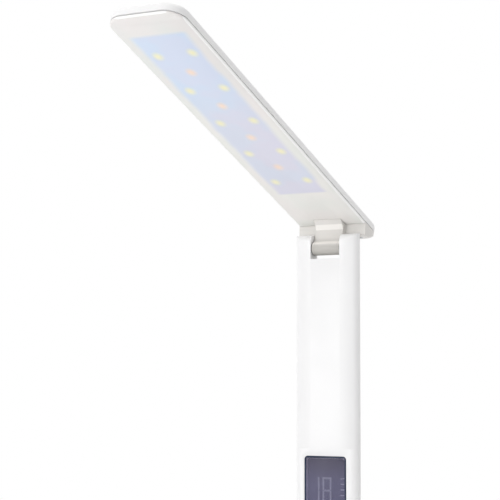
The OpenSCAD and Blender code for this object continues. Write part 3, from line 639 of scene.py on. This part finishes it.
def led_layout(name, phosphor):
    """One row of LEDs along the head, turned into place with it."""
    layout = Layout(
        name,
        First=led_first,
        Pitch=led_pitch,
        Side=0.0,
        Count=led_pairs,
        Width=0.0028,
        Length=0.0035,
        Height=0.0008,
        Front=0.0196,
    )
    first, pitch, width, height = layout.sizes("First", "Pitch", "Width", "Height")
    case_depth, case_middle, well_radius, well_depth, well_middle = 0.8, 0.6, 0.4, 0.9, 0.55
    box = layout.vector(width, layout.given["Length"], height * case_depth)
    body = layout.add("GeometryNodeMeshCube", None, {"Size": box})
    body = layout.moved(body.outputs["Mesh"], layout.vector(z=height * case_middle))
    well = layout.add(
        "GeometryNodeMeshCylinder",
        None,
        {"Vertices": 24, "Radius": width * well_radius, "Depth": height * well_depth},
    )
    well = layout.add(
        "GeometryNodeStoreNamedAttribute",
        {"data_type": "BOOLEAN", "domain": "FACE"},
        {"Geometry": well.outputs["Mesh"], "Name": "phosphor", "Value": True},
    )
    well = layout.moved(well.outputs[0], layout.vector(z=height * well_middle))
    row = layout.add(
        "GeometryNodeMeshLine",
        {"mode": "OFFSET"},
        {
            "Count": layout.given["Count"],
            "Start Location": layout.vector(layout.given["Side"], -first, layout.given["Front"]),
            "Offset": layout.vector(y=-pitch),
        },
    )
    leds = layout.add(
        "GeometryNodeInstanceOnPoints",
        None,
        {"Points": row.outputs[0], "Instance": layout.joined(body, well)},
    )
    turned = layout.moved(leds.outputs[0], pivot, (-head_rise, 0.0, 0.0))
    layout.end(turned, case.material, phosphor=phosphor)
    return layout


cool_phosphor = phosphor_finish("cool_phosphor", (0.93, 0.9, 0.5), (0.95, 0.92, 0.62))
warm_phosphor = phosphor_finish("warm_phosphor", (0.95, 0.68, 0.42), (0.96, 0.74, 0.5))
cool_layout = led_layout("cool_led_row", cool_phosphor)
warm_layout = led_layout("warm_led_row", warm_phosphor)
warm_sizes = {"First": led_first + led_pitch / 2, "Count": led_pairs - 1}
for name, layout, sizes, node, slot in (
    ("cool_led_row_left", cool_layout, {"Side": -led_side}, "cool_leds", "cool_led"),
    ("cool_led_row_right", cool_layout, {"Side": led_side}, "cool_leds", "cool_led"),
    ("warm_led_row", warm_layout, warm_sizes, "warm_leds", "warm_led"),
):
    row = mesh_piece(name, [(0, 0, 0)], [], case.material)
    grow(row, layout, **sizes)
    row.data.attributes.remove(row.data.attributes["phosphor"])
    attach(row, "head")
    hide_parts(node)


# Clock display: a smoke-tinted lens set flush in the arm, over a liquid crystal glass with pale
# segments, a light plate and two rubber strips that join the glass to the clock's board.
def plain_finish(name, first, second, size, rough, depth=0.00001, **more):
    """A moulded or printed finish, mottled between two colours at a size in metres."""
    made = Finish(name)
    mottle = made.grain(size)
    made.surface(
        Base_Color=made.blend(mottle.ramp(0.25, 0.75), first, second),
        Roughness=rough + mottle * 0.08,
        Normal=made.bump(mottle, depth, 0.4),
        **more,
    )
    return made.material


smoke = Finish("smoke_lens")
lens_x, lens_y, lens_z = smoke.axes((0.0, 0.0, 0.1425))
printed_edge = abs(lens_x).ramp(0.0136, 0.0141).most(abs(lens_z).ramp(0.0296, 0.0301))
inner_face = lens_y.ramp(0.0634, 0.0636)
# The smoke tint is painted darker at the lens's top and lighter and bluer below it: a painted
# reflection.
smoke_and_painted_reflection = smoke.blend(lens_z.ramp(0.030, 0.012), (0.115, 0.104, 0.155), (0.178, 0.172, 0.285))
glossy = smoke.add(
    "ShaderNodeBsdfPrincipled",
    None,
    {
        "Base Color": smoke.blend(printed_edge, smoke_and_painted_reflection, (0.008, 0.018, 0.05)),
        "Roughness": smoke.grain(0.004) * 0.06 + 0.27,
        "Specular IOR Level": 0.2,
    },
)
clear = smoke.add("ShaderNodeBsdfTransparent", None, {"Color": (0.9, 0.9, 0.95)})
smoke.show(smoke.mixed(((1.0 - printed_edge) * 0.5).most(inner_face), glossy, clear))
eased("display_lens", "smoke_lens", smoke.material, 0.0002)

crystal = plain_finish("crystal_glass", (0.12, 0.12, 0.15), (0.14, 0.14, 0.17), 0.01, 0.2)
segments = plain_finish("crystal_segments", (0.62, 0.62, 0.6), (0.68, 0.68, 0.66), 0.002, 0.35)
light_plate = plain_finish("light_plate", (0.75, 0.8, 0.9), (0.8, 0.84, 0.93), 0.004, 0.2)
strip_rubber = plain_finish("contact_rubber", (0.62, 0.3, 0.35), (0.7, 0.36, 0.4), 0.0008, 0.6)
dress(crystal, "display_glass")
dress(segments, "display_digits")
dress(light_plate, "backlight_plate")
dress(strip_rubber, "display_strips")


# Boards and what is soldered to them: green-masked boards with tinned tracks, black chips,
# switches and jack, the alarm's sounder, and black insulated wires.
green = Finish("green_board")
track = green.add(
    "ShaderNodeTexBrick",
    {"offset": 0.37},
    {
        "Vector": green.place,
        "Scale": 420.0,
        "Mortar Size": 0.03,
        "Color1": (0.03, 0.2, 0.09),
        "Color2": (0.045, 0.25, 0.12),
        "Mortar": (0.1, 0.4, 0.2),
    },
)
green.surface(
    Base_Color=track.outputs["Color"], Roughness=0.32 + green.grain(0.003) * 0.1, Coat_Weight=0.2
)
dress(green.material, "clock_board", "control_board")
black = plain_finish(
    "black_moulding", (0.02, 0.02, 0.022), (0.035, 0.035, 0.037), 0.0006, 0.45, 0.00002
)
dress(black, "clock_chip", "board_parts", "button_switches", "alarm_buzzer", "dc_jack")
wire = plain_finish("wire_cover", (0.03, 0.03, 0.032), (0.05, 0.05, 0.052), 0.0008, 0.4)
dress(wire, "base_lead", "arm_lead", "head_lead")


# Metal parts: zinc-plated screws and springs, drawn steel pins, nuts and brackets, the cell in its
# brass clip, and the cut steel plate that weights the base. Nylon washers rub in the pivots.
def metal_finish(name, colour, rough, stretch, size=0.0004):
    """Metal with a fine grain, drawn out along the axis with the smallest stretch."""
    metal = Finish(name)
    draw, patch = metal.grain(size, 3.0, stretch), metal.grain(0.008, 2.0)
    metal.surface(
        Base_Color=metal.blend(patch, colour, [channel * 0.82 for channel in colour]),
        Metallic=1.0,
        Roughness=rough + draw * 0.12 + patch * 0.08,
        Normal=metal.bump(draw, 0.00001, 0.35),
    )
    return metal.material


dress(
    metal_finish("zinc_plate", (0.66, 0.67, 0.69), 0.26, (1, 1, 1)),
    "base_screws",
    "ballast_screws",
    "touch_springs",
    "board_screws",
    "base_neck_screws",
    "lower_bracket_screws",
    "arm_screws",
    "cell_door_screw",
    "upper_bracket_screws",
    "hinge_block_screws",
    "led_board_screws",
)
dress(
    metal_finish("drawn_steel", (0.6, 0.61, 0.63), 0.24, (0.08, 1, 1)),
    "lower_bracket",
    "lower_pin",
    "lower_disc_springs",
    "lower_nut",
    "upper_bracket",
    "upper_pin",
    "upper_disc_springs",
    "upper_nut",
    "coin_cell",
)
dress(metal_finish("spring_brass", (0.78, 0.62, 0.3), 0.28, (1, 0.2, 1)), "cell_clip")
dress(metal_finish("cut_plate", (0.3, 0.31, 0.33), 0.45, (1, 0.1, 1), 0.001), "ballast_plate")
# Near-black washers: partly their own dark nylon, partly painted shade in the narrow gap beside the
# barrel.
washer_black_and_shade = plain_finish("graphite_nylon", (0.05, 0.05, 0.052), (0.08, 0.08, 0.08), 0.0006, 0.4)
dress(washer_black_and_shade, "lower_friction_washers", "upper_friction_washers")


# Touch keys: a glossy insert let into the base's top, with three printed marks over the springs
# that sense a finger.
insert = plain_finish(
    "gloss_insert", (0.84, 0.85, 0.87), (0.82, 0.83, 0.85), 0.03, 0.08, 0.000005, Coat_Weight=0.5
)
eased("touch_panel", "touch_insert", insert, 0.0002)
ink = plain_finish("printed_ink", (0.14, 0.15, 0.18), (0.17, 0.18, 0.21), 0.0005, 0.5)
dress(ink, "key_marks")


# Pad: a sheet of dark foam rubber, glued under the base, with round ribs that keep the lamp from
# sliding. The ribs run from front to back and are shorter where the corners turn.
rubber = Finish("ribbed_rubber")
foam = rubber.grain(0.0005)
rubber.surface(
    Base_Color=rubber.blend(foam, (0.018, 0.018, 0.02), (0.032, 0.032, 0.034)),
    Roughness=0.82 + foam * 0.1,
    Normal=rubber.bump(foam, 0.0001, 0.7),
)
low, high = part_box("base_pad")
pad = Layout(
    "pad_ribs",
    takes_mesh=True,
    Width=high[0] - low[0],
    Length=high[1] - low[1],
    Corner=0.016,
    Pitch=0.0029,
    Radius=0.0009,
    Margin=0.003,
    Count=29,
)
pad_width, pad_length, turn_radius = pad.sizes("Width", "Length", "Corner")
pad_pitch, rib_radius, rib_margin, rib_count = pad.sizes("Pitch", "Radius", "Margin", "Count")
rib_line = pad.add(
    "GeometryNodeMeshLine",
    {"mode": "OFFSET"},
    {
        "Count": pad.given["Count"],
        "Start Location": pad.vector((rib_count - 1.0) * (pad_pitch * -0.5), 0.0, rib_radius),
        "Offset": pad.vector(x=pad_pitch),
    },
)
position = pad.add("GeometryNodeInputPosition").outputs[0]
rib_x = Sum(pad, pad.add("ShaderNodeSeparateXYZ", None, {0: position}).outputs["X"])
into_corner = (abs(rib_x) - (pad_width * 0.5 - turn_radius)).most(0.0)
corner_end = (turn_radius * turn_radius - into_corner * into_corner).root() - turn_radius
rib_length = pad_length + corner_end * 2.0 - rib_margin
rib = pad.add(
    "GeometryNodeMeshCylinder", None, {"Vertices": 12, "Radius": rib_radius, "Depth": 1.0}
)
ribs = pad.add(
    "GeometryNodeInstanceOnPoints",
    None,
    {
        "Points": rib_line.outputs[0],
        "Instance": pad.moved(rib.outputs["Mesh"], turn=(math.pi / 2, 0.0, 0.0)),
        "Scale": pad.vector(1.0, rib_length, 1.0),
    },
)
pad.end(pad.joined(pad.given["Geometry"], ribs.outputs[0]), rubber.material)

rib_height = 0.0005
sheet = bmesh.new()
sheet.from_mesh(frame["nodes"]["base_pad"].data)
bmesh.ops.remove_doubles(sheet, verts=sheet.verts, dist=weld)
for corner in sheet.verts:
    corner.co.z = max(corner.co.z, low[2] + rib_height)
ribbed_pad = mesh_piece("ribbed_pad", [], [], rubber.material)
sheet.to_mesh(ribbed_pad.data)
sheet.free()
ribbed_pad.data.materials.clear()
grow(ribbed_pad, pad)
ribbed_pad.data.set_sharp_from_angle(angle=math.radians(40.0))
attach(ribbed_pad, "base")
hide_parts("base_pad")
